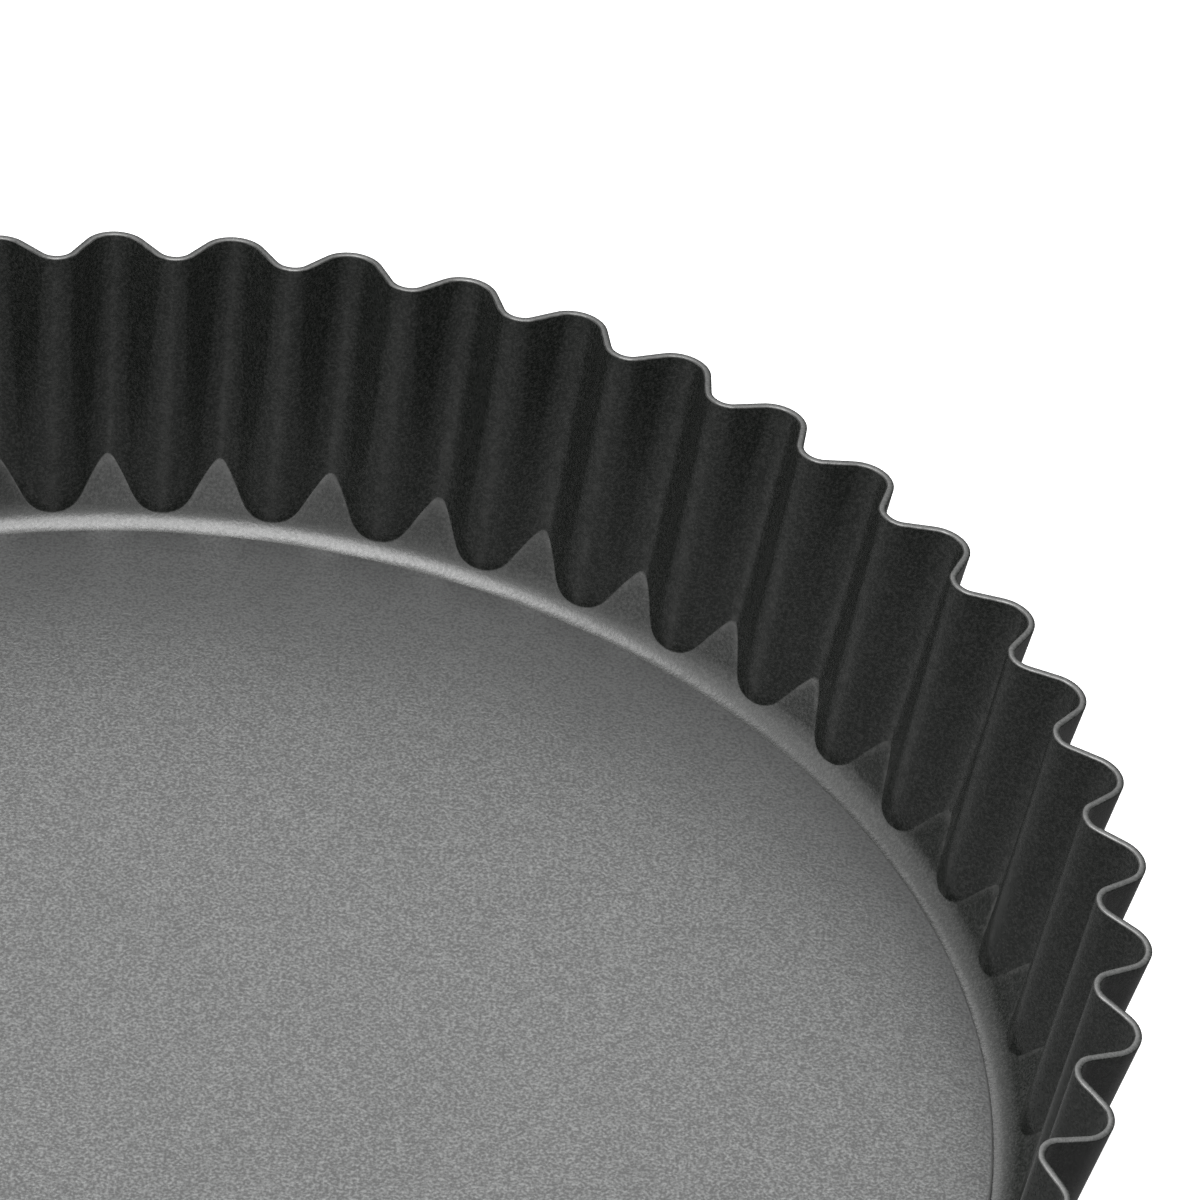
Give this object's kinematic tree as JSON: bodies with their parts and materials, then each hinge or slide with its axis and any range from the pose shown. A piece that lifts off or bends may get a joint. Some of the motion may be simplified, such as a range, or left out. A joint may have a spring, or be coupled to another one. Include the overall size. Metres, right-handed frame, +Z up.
{
  "type": "loose-base fluted tart pan",
  "caption": "Round fluted tart pan: a slanted crimped ring with a turned-in flange, and a flat loose base disc that rests on it and lifts out.",
  "frame": {"origin": "centre of the underside, on the plane that the flange stands on", "axes": "+Z up through the open mouth, along the pan's axis of symmetry; +X through the middle of one outward flute"},
  "size_m": [0.2498, 0.2498, 0.0417],
  "materials": {
    "ring_coating": "satin dark grey non-stick coating on thin steel sheet",
    "base_coating": "satin grey speckled non-stick coating on thin steel sheet"
  },
  "bodies": {
    "ring": {"fluted_ring": "ring_coating"},
    "base": {"loose_base": "base_coating"}
  },
  "joints": [
    {"name": "base_lift", "type": "slide", "parent": "ring", "child": "base", "axis": [0, 0, 1], "range_m": [0, 0.06]}
  ]
}
